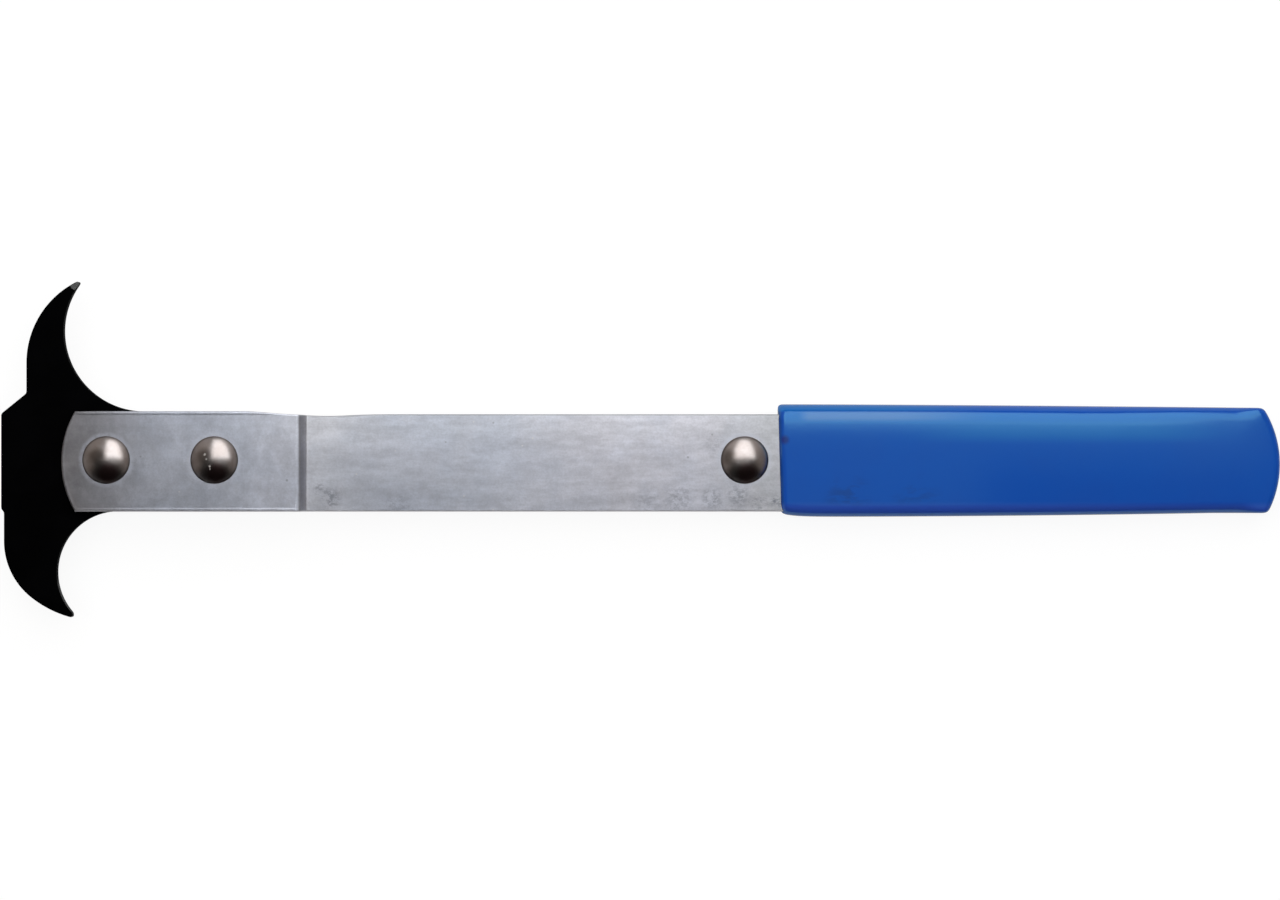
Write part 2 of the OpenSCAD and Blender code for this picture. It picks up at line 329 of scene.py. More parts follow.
def faced(outline, holes, inner):
    """Triangles that fill an outline round its holes, through inner points, anticlockwise from
    above. They count the outline's points first, then those of the holes and the inner ones."""
    loops = [outline, *holes]
    starts = np.cumsum([0] + [len(l) for l in loops])
    edges = np.vstack([
        np.stack([np.arange(len(l)), (np.arange(len(l)) + 1) % len(l)], 1) + s
        for l, s in zip(loops, starts)
    ])
    every = np.vstack([*loops, inner])
    scale = 1.0 / MM
    out = delaunay_2d_cdt(
        [Vector(p) for p in (every * scale).tolist()], edges.tolist(), [], 1, 1e-7
    )
    order = np.array([o[0] if len(o) else -1 for o in out[3]])
    if (order < 0).any() or len(set(order.tolist())) != len(every):
        raise RuntimeError("the face's points were merged or added to")
    tris = order[np.array(out[2], int)]
    a, b, c = (every[tris[:, k]] for k in range(3))
    area = (b[:, 0] - a[:, 0]) * (c[:, 1] - a[:, 1]) - (b[:, 1] - a[:, 1]) * (c[:, 0] - a[:, 0])
    tris[area < 0] = tris[area < 0][:, ::-1]
    middle = (a + b + c) / 3
    for hole in holes:
        centre, radius = circle_of(hole)
        keep = np.linalg.norm(middle - centre, axis=1) > radius
        tris, middle = tris[keep], middle[keep]
    return tris


def clear_of(points, outline, holes, room):
    """The points that lie inside an outline by at least that room, and outside its holes."""
    best = np.full(len(points), np.inf)
    side = np.zeros(len(points))
    normal = inward(outline)
    batch = 4096
    for k in range(0, len(points), batch):
        gap = points[k:k + batch, None] - outline[None]
        far = np.linalg.norm(gap, axis=2)
        near = far.argmin(1)
        row = np.arange(len(near))
        best[k:k + batch] = far[row, near]
        side[k:k + batch] = (gap[row, near] * normal[near]).sum(1)
    keep = (best > room) & (side > 0)
    for hole in holes:
        centre, radius = circle_of(hole)
        keep &= np.linalg.norm(points - centre, axis=1) > radius + room
    return points[keep]


def plate(ring, levels, bent, holes=(), inner=np.empty((0, 2))):
    """A plate with rounded edges. Its outline at each level is ring(inset), at that level's height.
    The two faces are filled through inner points round the holes, whose walls run straight through.
    Then bent(x, y, height) gives each point's real height. Returns its points and its faces."""
    rings = [ring(inset) for inset, _ in levels]
    count = len(rings[0])
    low, high = levels[0][1], levels[-1][1]
    flat = [np.column_stack([r, np.full(count, h)]) for r, (_, h) in zip(rings, levels)]
    faces = [walls(len(levels), count)]
    total = count * len(levels)
    mouths = {}
    for hole in holes:
        size = len(hole)
        turned = hole[::-1]
        flat += [np.column_stack([turned, np.full(size, h)]) for h in (low, high)]
        faces.append(walls(2, size, total))
        mouths.setdefault(low, []).append(np.arange(total, total + size))
        mouths.setdefault(high, []).append(np.arange(total + size, total + 2 * size))
        total += 2 * size
    for level, first, up in ((high, count * (len(levels) - 1), True), (low, 0, False)):
        outline = rings[-1] if up else rings[0]
        more = clear_of(inner, outline, holes, FACE_ROOM)
        tris = faced(outline, [h[::-1] for h in holes], more)
        index = np.concatenate(
            [np.arange(first, first + count)]
            + mouths.get(level, [])
            + [np.arange(total, total + len(more))]
        )
        tris = index[tris]
        faces.append(tris if up else tris[:, ::-1])
        flat.append(np.column_stack([more, np.full(len(more), level)]))
        total += len(more)
    x, y, h = np.vstack(flat).T
    return lay(np.column_stack([x, y, bent(x, y, h)])), faces


def lathe(profile, count):
    """A closed body of revolution about z: rings (r cos a, r sin a, z) for a profile (r, z) that
    starts and ends on the axis. Returns its points and its faces."""
    a = np.linspace(0.0, 2 * math.pi, count, endpoint=False)
    mid = profile[1:-1]
    x = mid[:, :1] * np.cos(a)
    y = mid[:, :1] * np.sin(a)
    z = np.repeat(mid[:, 1:], count, 1)
    poles = [[0.0, 0.0, profile[0, 1]], [0.0, 0.0, profile[-1, 1]]]
    points = np.vstack([np.stack([x, y, z], -1).reshape(-1, 3), poles])
    n = len(mid) * count
    i = np.arange(count)
    j = (i + 1) % count
    start = np.stack([np.full(count, n), j, i], 1)
    end = np.stack([n - count + i, n - count + j, np.full(count, n + 1)], 1)
    return points, [walls(len(mid), count), start, end]


def add(name, data):
    """A new object in the scene."""
    obj = bpy.data.objects.new(name, data)
    bpy.context.scene.collection.objects.link(obj)
    return obj


def piece(name, points, faces, material, replaced, sharp=30.0):
    """Makes a mesh of points and faces in its place, puts it under the body and hides the parts it
    replaces.
    """
    mesh = bpy.data.meshes.new(name)
    rows = [row for block in faces for row in block.tolist()]
    mesh.from_pydata(points.tolist(), [], rows)
    if mesh.validate():
        raise RuntimeError(f"{name} has faces that aren't sound")
    obj = add(name, mesh)
    mesh.shade_smooth()
    mesh.set_sharp_from_angle(angle=math.radians(sharp))
    mesh.materials.append(material)
    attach(obj, BODY)
    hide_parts(*replaced)
    return obj


# Blade


def blade_outline(b, s):
    """The blade's outline, anticlockwise from the nose's lower corner: small claw, tang, large
    claw and nose, made of straight lines and of arcs that are tangent to them. The tang's upper
    side falls with the strips' before the set."""
    half = b.nose_width / 2
    side = s.width / 2
    tang = side - b.tang_inset
    heel = np.array([b.small_setback + b.small_heel, -b.small_heel_y])
    turn = b.small_heel_turn
    toe = heel + (b.small_toe - b.small_heel) * np.array([math.cos(turn), math.sin(turn)])
    low_tip = math.pi + math.asin((b.small_reach + toe[1]) / b.small_toe)
    low_throat = np.array([b.small_throat_x, -side - b.small_throat])
    high = np.array([b.large_setback + b.large_outer, b.large_outer_y])
    high_tip = math.pi - math.asin((b.large_reach - high[1]) / b.large_outer)
    high_throat = np.array([b.large_throat_x, side + b.large_throat])
    toe_arc = arc(toe, b.small_toe, math.pi + turn, low_tip, 60)
    back_arc = arc(high, b.large_outer, high_tip, math.pi, 90)
    low_cut = cut_end(toe_arc[-1], toe, b.small_lean, low_throat, b.small_throat)
    high_cut = cut_end(back_arc[0], high, b.large_lean, high_throat, b.large_throat)
    fall, end = s.set_x - 0.0135, s.set_x - b.tang_gap
    shoulder = half + b.large_setback * math.tan(b.nose_slant)
    return np.vstack([
        [[0.0, -half], [b.small_setback, -half - b.small_setback]],
        arc(heel, b.small_heel, math.pi, math.pi + turn, 60)[:-1],
        toe_arc,
        arc(low_throat, b.small_throat, low_cut, math.pi / 2, 90),
        [[b.small_throat_x, -tang], [end, -tang], [end, tang - s.relief], [fall, tang]],
        [[b.large_throat_x, tang]],
        arc(high_throat, b.large_throat, 1.5 * math.pi, high_cut, 90),
        back_arc,
        [[b.large_setback, shoulder], [0.0, half]],
    ])


def cut_end(tip, centre, lean, throat, radius):
    """Where the cut across a claw meets its throat, as an angle about the throat's centre. The cut
    starts at the tip and leans from the line to the centre of the claw's back."""
    way = centre - tip
    a = math.atan2(way[1], way[0]) + lean
    d = np.array([math.cos(a), math.sin(a)])
    gap = tip - throat
    along = -gap @ d - math.sqrt((gap @ d) ** 2 - gap @ gap + radius**2)
    met = gap + along * d
    return math.atan2(met[1], met[0]) % (2 * math.pi)


class HOOKTOOL_OT_blade(bpy.types.Operator):
    """Makes the black blade with its two claws."""

    bl_idname = "hooktool.blade"
    bl_label = "Blade"

    def execute(self, context):
        tool = context.scene.hook_tool
        b, s, r = tool.blade, tool.strip, tool.rivet
        outline = soften(even(blade_outline(b, s), BLADE_STEP), b.corner)
        normal = inward(outline)
        edge = rounded(b.edge, b.thickness / 2, math.pi / 2, 5)
        # one more ring on the face, close to the edge, keeps its shading crisp
        levels = mirrored(np.vstack([edge, [b.edge + 0.03 * MM, b.thickness / 2]]))
        points, faces = plate(
            lambda inset: outline + inset * normal,
            levels,
            lambda x, y, h: h,
            [rivet_hole(r, x) for x in (r.nose_x, r.tang_x)],
        )
        piece("blade", points, faces, blackened_steel(b), ["hook_blade"])
        return {"FINISHED"}


# Strips


def set_line(b, s):
    """Height of a strip's inner face along the tool, as a table of places and heights, and where
    its set starts and ends. It bends down along an arc, runs down a slope and bends back along a
    smaller arc: place = start + radius sin a, height = half the blade - radius (1 - cos a)."""
    turn, brow, foot, drop = s.set_slope, s.set_brow, s.set_foot, b.thickness / 2
    start, slope_drop = s.set_x, drop - (brow + foot) * (1 - math.cos(turn))
    end = start + (brow + foot) * math.sin(turn) + slope_drop / math.tan(turn)
    a = np.linspace(0.0, turn, 40)
    down = np.column_stack([start + brow * np.sin(a), drop - brow * (1 - np.cos(a))])
    back = np.column_stack([end - foot * np.sin(a), foot * (1 - np.cos(a))])[::-1]
    return np.vstack([[0.0, drop], down, back, [1.0, 0.0]]), start, end


def rivet_hole(r, x):
    """A rivet's hole, anticlockwise."""
    return arc([x, r.row_y], r.shank / 2, 0.0, 2 * math.pi, 65)[:-1]


def smooth(value, low, high):
    """Rises from 0 to 1 between two values: u u (3 - 2 u)."""
    u = np.clip((value - low) / (high - low), 0.0, 1.0)
    return u * u * (3 - 2 * u)


def upper_side(s, x):
    """The strips' upper side in plan: it runs in a little before the set, and a little more just
    behind it."""
    depth, place, reach = WAIST
    past = x - s.set_x
    waist = depth * np.exp(-(((past - place) / reach) ** 2)) * smooth(past, -0.0035, 0.0045)
    return s.width / 2 - s.relief * smooth(past, -0.013, 0.0) - waist


def strip_ring(s, stations, inset):
    """Outline of the strip, set in by an amount: two long sides, a round front end and a round rear
    end. Its points keep their number, whatever the inset."""
    side = s.width / 2 - inset
    front, rear = s.front_radius - inset, s.rear_radius - inset
    front_c = [s.front_x + s.front_radius, 0.0]
    rear_c = [s.rear_x - s.rear_radius, 0.0]
    front_a = math.asin(side / front)
    high = upper_side(s, stations) - inset
    return np.vstack([
        arc(front_c, front, math.pi - front_a, math.pi + front_a, 64),
        np.column_stack([stations, np.full(len(stations), -side)]),
        arc(rear_c, rear, -math.asin(side / rear), math.asin(high[-1] / rear), 48),
        np.column_stack([stations, high])[::-1],
    ])


def lip(s, x, y):
    """Height of the lip along a strip's edges. With d as the distance from the edge, it is
    lip (1 - smooth(d, from 0.55 to 1 mm)), less a crown that falls off outwards as the square of
    how far it still is to the edge. It is lower along the handle and round the front end."""
    front_c = s.front_x + s.front_radius
    side = s.width / 2 - np.abs(y)
    round_end = np.where(x < front_c, s.front_radius - np.hypot(x - front_c, y), 1.0)
    d = np.minimum(side, round_end) / MM
    crown = 0.85 * (np.clip(0.55 - d, 0.0, None) / 0.55) ** 2
    tail = smooth(x, s.set_x - 0.002, s.set_x + 0.004)
    height = s.lip * np.where(round_end < side, 0.45, 1.0 - 0.8 * tail)
    return height * (1.0 - smooth(d, 0.55, 1.0) - crown)


def strip_mesh(tool, up):
    """Points and faces of one strip: a plate whose height follows the set. The rear one is the
    same, upside down."""
    b, s, r = tool.blade, tool.strip, tool.rivet
    line, start, end = set_line(b, s)
    # the points of its long sides, closest together over the set
    stations = np.unique(np.concatenate([
        np.arange(0.0205, 0.058, 0.002),
        np.arange(0.058, start - 0.0008, 0.001),
        np.linspace(start - 0.0004, end + 0.0004, 64),
        np.arange(end + 0.001, 0.102, 0.001),
        np.arange(0.103, s.rear_x - 0.007, 0.002),
    ]))
    half_t = s.thickness / 2
    edge = rounded(s.edge, half_t, math.pi / 2, 6)
    # rings on the flat beside the edge, where the lip rises and falls
    steps = [0.07, 0.15, 0.23, 0.3, 0.37, 0.44, 0.51, 0.58, 0.65, 0.73, 0.85]
    steps = s.edge + np.array(steps) * MM
    levels = mirrored(np.vstack([edge, np.column_stack([steps, np.full(len(steps), half_t)])]))
    holes = [rivet_hole(r, x) for x in (r.nose_x, r.tang_x, r.handle_x)]
    # the faces' inner points, with four more rows towards the round front end
    rows = np.concatenate([np.arange(0.0168, 0.0205, 0.0012), stations])
    across = np.linspace(-s.width / 2, s.width / 2, 18)
    inner = np.stack(np.meshgrid(rows, across, indexing="ij"), -1).reshape(-1, 2)

    def bent(x, y, h):
        high = np.clip((h - half_t) / s.edge + 1.0, 0.0, 1.0)
        z = np.interp(x, line[:, 0], line[:, 1]) + half_t + h + high * lip(s, x, y)
        return z if up else -z

    points, faces = plate(lambda inset: strip_ring(s, stations, inset), levels, bent, holes, inner)
    return points, faces if up else [f[:, ::-1] for f in faces]


class HOOKTOOL_OT_strips(bpy.types.Operator):
    """Makes the two plated strips with their set."""

    bl_idname = "hooktool.strips"
    bl_label = "Strips"

    def execute(self, context):
        material = zinc_plate(context.scene.hook_tool)
        for side in ("front", "rear"):
            points, faces = strip_mesh(context.scene.hook_tool, side == "front")
            strip = [f"{side}_strip"]
            piece(f"{side}_bar", points, faces, material, strip)
        return {"FINISHED"}


# Rivets


def rivet_rows(tool):
    """The rivets, each as its piece, its node, its place behind the nose and its heads' height."""
    r = tool.rivet
    stack = tool.blade.thickness / 2 + tool.strip.thickness
    return (
        ("nose_stud", "nose_rivet", r.nose_x, stack),
        ("tang_stud", "tang_rivet", r.tang_x, stack),
        ("handle_stud", "handle_rivet", r.handle_x, tool.strip.thickness),
    )


def rivet_profile(r, stack):
    """Half section of a rivet: its domed head is a cap of a sphere whose rim is rounded, over a
    plain shank, and the other half mirrors it."""
    dome = ((r.head / 2) ** 2 + r.head_height**2) / (2 * r.head_height)
    full = math.asin(r.head / 2 / dome)
    a = np.linspace(0.0, full * 0.985, 40)
    cap = np.column_stack([dome * np.sin(a), stack + r.head_height - dome * (1 - np.cos(a))])
    rim_r, rim_z = cap[-1]
    rim = np.array([
        [rim_r + 0.004 * MM, stack + (rim_z - stack) * 0.5],
        [rim_r - 0.05 * MM, stack + (rim_z - stack) * 0.12],
        [rim_r - 0.15 * MM, stack],
        [r.shank / 2, stack],
    ])
    rim[:, 0] = np.minimum(rim[:, 0], r.head / 2)
    half = np.vstack([cap, rim])
    return np.vstack([half * [1, -1], half[::-1]])


class HOOKTOOL_OT_rivets(bpy.types.Operator):
    """Makes the three rivets."""

    bl_idname = "hooktool.rivets"
    bl_label = "Rivets"

    def execute(self, context):
        tool = context.scene.hook_tool
        r = tool.rivet
        material = rivet_steel(tool)
        for name, rivet, x, stack in rivet_rows(tool):
            points, faces = lathe(rivet_profile(r, stack), RIVET_SIDES)
            points = lay(points + [x, r.row_y, 0.0])
            piece(name, points, faces, material, [rivet], sharp=50)
        return {"FINISHED"}


# Grip


def rear_end():
    """Length of the whole tool, from the frame's own grip, less a hair that keeps the tilted end's
    crisper edge inside it."""
    nose, c, _ = rest()
    return round((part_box("grip")[1].x - nose[0]) / c, 4) - HAIR


def mouth_x(g):
    """Place of the grip's mouth on the axis."""
    return rear_end() - g.length


def grip_sides(g, mouth, x):
    """How far the grip's upper and lower sides are from its axis at a place along it. With t as
    the way along, one runs in as t to the power 1.5. The other runs in as the square of t, as far
    as the round end, and is worn in at the mouth: heel exp(-way / run)."""
    t = np.clip((x - mouth) / SIDE_RUN, 0.0, None)
    worn = g.heel * np.exp((mouth - x) / WEAR_RUN)
    upper = g.upper - g.upper_fall * t**1.5
    return upper, g.lower - g.lower_fall * np.minimum(t, 1.03) ** 2 - worn


def grip_height(g, x, y, h):
    """Height of a point of the grip. Its section goes over from the upper edge's to the lower
    edge's across it, and towards the round end to the lower edge's and then the end's own. Near
    the mouth the height comes from the distance to the side alone, less the mouth's own edge."""
    sections = [grip_section(g, radius) for radius in (g.edge, g.edge_low, g.edge_end)]
    end = rear_end()
    over = smooth(y, -0.006, 0.004) * (1.0 - smooth(x, end - 0.050, end - 0.012))
    inset = np.interp(np.abs(h), sections[0][:, 1], sections[0][:, 0])
    mouth = end - g.length
    upper, lower = grip_sides(g, mouth, x)
    side = np.maximum(np.minimum(upper - y, lower + y), 0.0)
    d = np.where(x < mouth + 0.025, side, inset)
    high, low, last = (np.interp(d, part[:, 0], part[:, 1]) for part in sections)
    low = low + smooth(x, end - 0.011, end - 0.0045) * (last - low)
    gap = (x - mouth + math.tan(g.mouth_slant) * y) * math.cos(g.mouth_slant)
    u = np.clip(1.0 - gap / g.mouth_edge, 0.0, 1.0)
    tall = low + over * (high - low) - g.mouth_edge * (1.0 - np.sqrt(1.0 - u * u))
    return np.sign(h) * np.maximum(tall, HAIR)


def grip_ring(g, inset):
    """The grip's plan, set in by an amount: its two sides, a round end and a slanted mouth. Its
    corners are softened, and more so further in. Where a side meets the mouth and the round end
    is found by trying the last answer again, eight times."""
    mouth, end_x, end_r = mouth_x(g), rear_end() - g.end_radius, g.end_radius - inset
    slant = math.tan(g.mouth_slant)

    def side(x, sign):
        return sign * (grip_sides(g, mouth, x)[sign < 0] - inset)

    def corners(sign):
        near, turn = mouth, 0.5
        for _ in range(8):
            near = mouth + inset / math.cos(g.mouth_slant) - slant * side(near, sign)
            way = side(end_x + end_r * math.cos(turn), sign) - g.end_y
            turn = math.asin(sign * way / end_r)
        return near, turn, end_x + end_r * math.cos(turn)

    near_low, turn_low, far_low = corners(-1)
    near_high, turn_high, far_high = corners(1)
    x_low = np.linspace(near_low, far_low, 300, endpoint=False)
    x_high = np.linspace(far_high, near_high, 300, endpoint=False)
    start, end = (np.array([x, side(x, sign)]) for x, sign in ((near_high, 1), (near_low, -1)))
    ring = np.vstack([
        np.column_stack([x_low, side(x_low, -1)]),
        arc([end_x, g.end_y], end_r, -turn_low, turn_high, 220)[:-1],
        np.column_stack([x_high, side(x_high, 1)]),
        start + (end - start) * np.linspace(0.0, 1.0, 100, endpoint=False)[:, None],
    ])
    return softened_ring(ring, 0.0008 + 0.12 * inset)


def softened_ring(ring, reach):
    """An outline of uneven points, with its corners softened by that reach along its length."""
    run = closed(ring)[1]
    fine = closed(soften(even(ring, GRIP_STEP), reach))[0]
    return read_off(fine, np.linspace(0.0, run[-1], len(fine)), run[:-1])


def grip_section(g, radius):
    """The grip's edge and face, as inset from the side and height: a quarter turn that runs into
    the crowned face, whose slope falls evenly to nothing."""
    slope = 2 * g.crown / (g.crown_width - radius)
    turn = math.pi / 2 - math.atan(slope)
    inset = radius * (1 - math.cos(turn))
    run = g.crown_width - inset
    rise = slope * run / 2
    top = g.half_thickness - rise + radius * (1 - math.sin(turn))
    u = np.linspace(0.0, 1.0, 13)[1:]
    face = np.column_stack([inset + run * u, g.half_thickness - rise * (1 - u) ** 2])
    return np.vstack([rounded(radius, top, turn, 15), face])


class HOOKTOOL_OT_grip(bpy.types.Operator):
    """Makes the dipped grip, open where the strips run into it."""

    bl_idname = "hooktool.grip"
    bl_label = "Grip"

    def execute(self, context):
        tool = context.scene.hook_tool
        g = tool.grip
        points, faces = plate(
            lambda inset: grip_ring(g, inset),
            mirrored(grip_section(g, g.edge)),
            lambda x, y, h: grip_height(g, x, y, h),
        )
        obj = piece("sleeve", points, faces, vinyl(g), ["grip"])
        hollow(obj, g, tool.strip)
        return {"FINISHED"}


def hollow(obj, g, s):
    """Takes the strips' room out of the grip: the pair's rounded section, carried to their ends."""
    low, high = -s.width / 2 - HAIR, float(upper_side(s, s.rear_x)) + HAIR
    tall, r = s.thickness + HAIR, s.edge
    corners = np.array([
        [high - r, tall - r], [low + r, tall - r], [low + r, r - tall], [high - r, r - tall]
    ])
    a = np.linspace(0.0, math.pi / 2, 7)
    turns = a[None] + (math.pi / 2) * np.arange(4)[:, None]
    section = (corners[:, None] + r * np.stack([np.cos(turns), np.sin(turns)], -1)).reshape(-1, 2)
    end_r = s.rear_radius + HAIR
    far = s.rear_x - s.rear_radius + np.sqrt(end_r**2 - section[:, 0] ** 2)
    near = np.full(len(section), mouth_x(g) - ROOM_LEAD)
    xs = near + (far - near) * np.linspace(0.0, 1.0, 2)[:, None]
    rings = np.stack([xs, np.tile(section[:, 0], (2, 1)), np.tile(section[:, 1], (2, 1))], -1)
    n = len(section)
    points = lay(rings.reshape(-1, 3))
    mesh = bpy.data.meshes.new("room")
    rows = walls(2, n).tolist()
    # the round far end is a row of narrow faces from side to side
    k = np.arange(n // 2 - 1)
    cap = np.stack([n + k, n + k + 1, 2 * n - 2 - k, 2 * n - 1 - k], 1)
    mesh.from_pydata(points.tolist(), [], rows + [list(range(n))[::-1]] + cap.tolist())
    cutter = add("room", mesh)
    cut = obj.modifiers.new("room", "BOOLEAN")
    cut.operation = "DIFFERENCE"
    cut.solver = "EXACT"
    cut.object = cutter
    dg = bpy.context.evaluated_depsgraph_get()
    made = bpy.data.meshes.new_from_object(obj.evaluated_get(dg))
    obj.modifiers.clear()
    obj.data = made
    bpy.data.objects.remove(cutter)


# Finishes

# Smudges on the strips, each as its place along and across the tool, its reach and its weight
SMUDGES = (
    (0.0822, -0.0092, 0.0036, 0.55),
    (0.0795, -0.0070, 0.0024, 0.45),
    (0.0990, -0.0118, 0.0060, 0.25),
    (0.1934, -0.0100, 0.0022, 0.70),
    (0.1775, -0.0092, 0.0040, 0.40),
    (0.1840, -0.0085, 0.0042, 0.42),
    (0.1890, -0.0104, 0.0034, 0.40),
    (0.1690, -0.0095, 0.0058, 0.30),
    (0.1610, -0.0100, 0.0050, 0.24),
    (0.1782, 0.0040, 0.0040, 0.22),
)

# Bright nicks on the tang rivet's head, each as its place from the head's middle and its reach
NICKS = (
    ([-0.0010, -0.00155, 0.0024], 0.00042),
    ([-0.0009, -0.00225, 0.0023], 0.0003),
    ([-0.0022, 0.00135, 0.0022], 0.0004),
    ([-0.0018, 0.00025, 0.0024], 0.0003),
)


def plug(made, inputs):
    """Sets a node's sockets to values, or links them to other nodes' outputs."""
    for key, value in inputs.items():
        if isinstance(value, bpy.types.NodeSocket):
            made.id_data.links.new(value, made.inputs[key])
        else:
            made.inputs[key].default_value = value


def node(source, kind, inputs=None, **settings):
    """A shader node with its settings, and its sockets set or linked. It goes into a node tree, or
    into the tree of a socket."""
    made = source.id_data.nodes.new("ShaderNode" + kind)
    for key, value in settings.items():
        setattr(made, key, value)
    plug(made, inputs or {})
    return made


def blank(name):
    """A new material with its shader and the Object coordinates."""
    material = bpy.data.materials.new(name)
    material.use_nodes = True
    tree = material.node_tree
    shader = next(n for n in tree.nodes if n.type == "BSDF_PRINCIPLED")
    return material, shader, node(tree, "TexCoord").outputs["Object"]


def tool_axes(place):
    """How far a place is along the straight tool, from its nose, and across it, from its axis."""
    nose, c, _ = rest()
    parts = node(place, "SeparateXYZ", {"Vector": place})
    along = math_node("MULTIPLY_ADD", parts.outputs["X"], 1 / c, -nose[0] / c)
    return along, math_node("SUBTRACT", parts.outputs["Y"], nose[1])


def math_node(operation, a, b=0.0, c=0.0):
    """One sum on numbers."""
    return node(a, "Math", {0: a, 1: b, 2: c}, operation=operation).outputs[0]


def times(a, b):
    """The product of two numbers."""
    return math_node("MULTIPLY", a, b)


def noise(place, scale, detail=3.0, rough=0.5, stretch=None):
    """Noise of that many waves a metre, drawn out along an axis where stretch says so."""
    if stretch:
        place = node(place, "Mapping", {"Vector": place, "Scale": stretch}).outputs[0]
    inputs = {"Vector": place, "Scale": scale, "Detail": detail, "Roughness": rough}
    return node(place, "TexNoise", inputs).outputs["Fac"]


def ramp(value, low, high, to_low=0.0, to_high=1.0):
    """Carries a value smoothly from one range to another, and holds it there."""
    inputs = {"Value": value, "From Min": low, "From Max": high}
    inputs |= {"To Min": to_low, "To Max": to_high}
    return node(value, "MapRange", inputs, interpolation_type="SMOOTHSTEP").outputs["Result"]


def band(value, up, down):
    """Rises from 0 to 1 over one range of a value, and falls back to 0 over another."""
    return times(ramp(value, *up), ramp(value, *down))


def mix(share_of_b, a, b, blend="MIX"):
    """Mixes two colours."""
    a, b = (v if isinstance(v, bpy.types.NodeSocket) else (*v, 1.0) for v in (a, b))
    inputs = {0: share_of_b, 6: a, 7: b}
    return node(share_of_b, "Mix", inputs, data_type="RGBA", blend_type=blend).outputs[2]


def tinted(base, mask, tint, weight=1.0):
    """A colour that goes over to another one by a mask and a weight."""
    return mix(times(mask, weight), base, tint)


def distance_to(place, point):
    """How far a place is from a point of the straight tool, in metres."""
    inputs = {0: place, 1: tuple(lay(point))}
    return node(place, "VectorMath", inputs, operation="DISTANCE").outputs["Value"]


def close_to(place, point, outer, inner):
    """Rises from 0 to 1 towards a point of the straight tool, between two distances from it."""
    return ramp(distance_to(place, point), outer, inner)


def bump(height, distance, strength=1.0, onto=None):
    """Turns a height into a bump, on top of another one where it is given."""
    inputs = {"Height": height, "Distance": distance, "Strength": strength}
    if onto is not None:
        inputs["Normal"] = onto
    return node(height, "Bump", inputs).outputs["Normal"]


def shade(base, cloud, weight):
    """Lightens and darkens a colour by a cloud, as much one way as the other."""
    inputs = {0: base, "Scale": ramp(cloud, 0.3, 0.7, 1 - weight, 1 + weight)}
    return node(base, "VectorMath", inputs, operation="SCALE").outputs["Vector"]


def specks(place, scale, size, share_kept):
    """Small round specks in a few of the cells of a honeycomb of that many cells a metre."""
    cells = node(place, "TexVoronoi", {"Vector": place, "Scale": scale})
    dot = ramp(cells.outputs["Distance"], size, size * 0.5)
    parts = node(place, "SeparateColor", {"Color": cells.outputs["Color"]})
    few = ramp(parts.outputs[0], 1 - share_kept, 1 - share_kept + 0.02)
    return times(dot, few)


def blackened_steel(b):
    """Blackened plate: near black and dull, with a faint cloud and a few specks. The large claw's
    tip is ground bare, and the small claw's inner edge is worn."""
    material, shader, place = blank("blackened_steel")
    black, bare = np.array(b.black), np.array(b.bare)
    cloud = noise(place, 120, 5, 0.6)
    base = mix(ramp(cloud, 0.35, 0.7), black, black * 2.2)
    base = mix(specks(place, 260, 0.10, 0.05), base, (0.02, 0.018, 0.016))
    ragged = times(noise(place, 1400, 2), 0.0009)
    reach = math_node("ADD", distance_to(place, large_tip(b)), ragged)
    tip = ramp(reach, 0.0029, 0.0025)
    grind = noise(place, 900, 2, 0.5, (3.0, 0.6, 1.0))
    _, c, rise = rest()
    up = (rise, 0.0, c)
    face = float(lay([0.0, 0.0, b.thickness / 2]) @ np.array(up))
    height = node(place, "VectorMath", {0: place, 1: up}, operation="DOT_PRODUCT")
    wall = ramp(height.outputs["Value"], face - 0.0001, face - 0.0004)
    inner = close_to(place, small_edge(b), 0.005, 0.0036)
    base = mix(times(wall, inner), base, bare * 0.45)
    plug(shader, {
        "Base Color": mix(tip, base, mix(grind, bare * 0.8, bare * 1.2)),
        "Metallic": tip,
        "Roughness": ramp(cloud, 0.3, 0.7, 0.52, 0.66),
        "Specular IOR Level": 0.012,
        "Normal": bump(noise(place, 2600, 3), 0.00002, 0.5),
    })
    return material


def large_tip(b):
    """The large claw's tip on the straight tool."""
    x = b.large_setback + b.large_outer
    x -= math.sqrt(b.large_outer**2 - (b.large_reach - b.large_outer_y) ** 2)
    return [x, b.large_reach, b.thickness / 2]


def small_edge(b):
    """Middle of the worn inner edge of the small claw, on the straight tool."""
    return [b.small_throat_x - 0.013, -b.small_reach + 0.0054, 0.0]


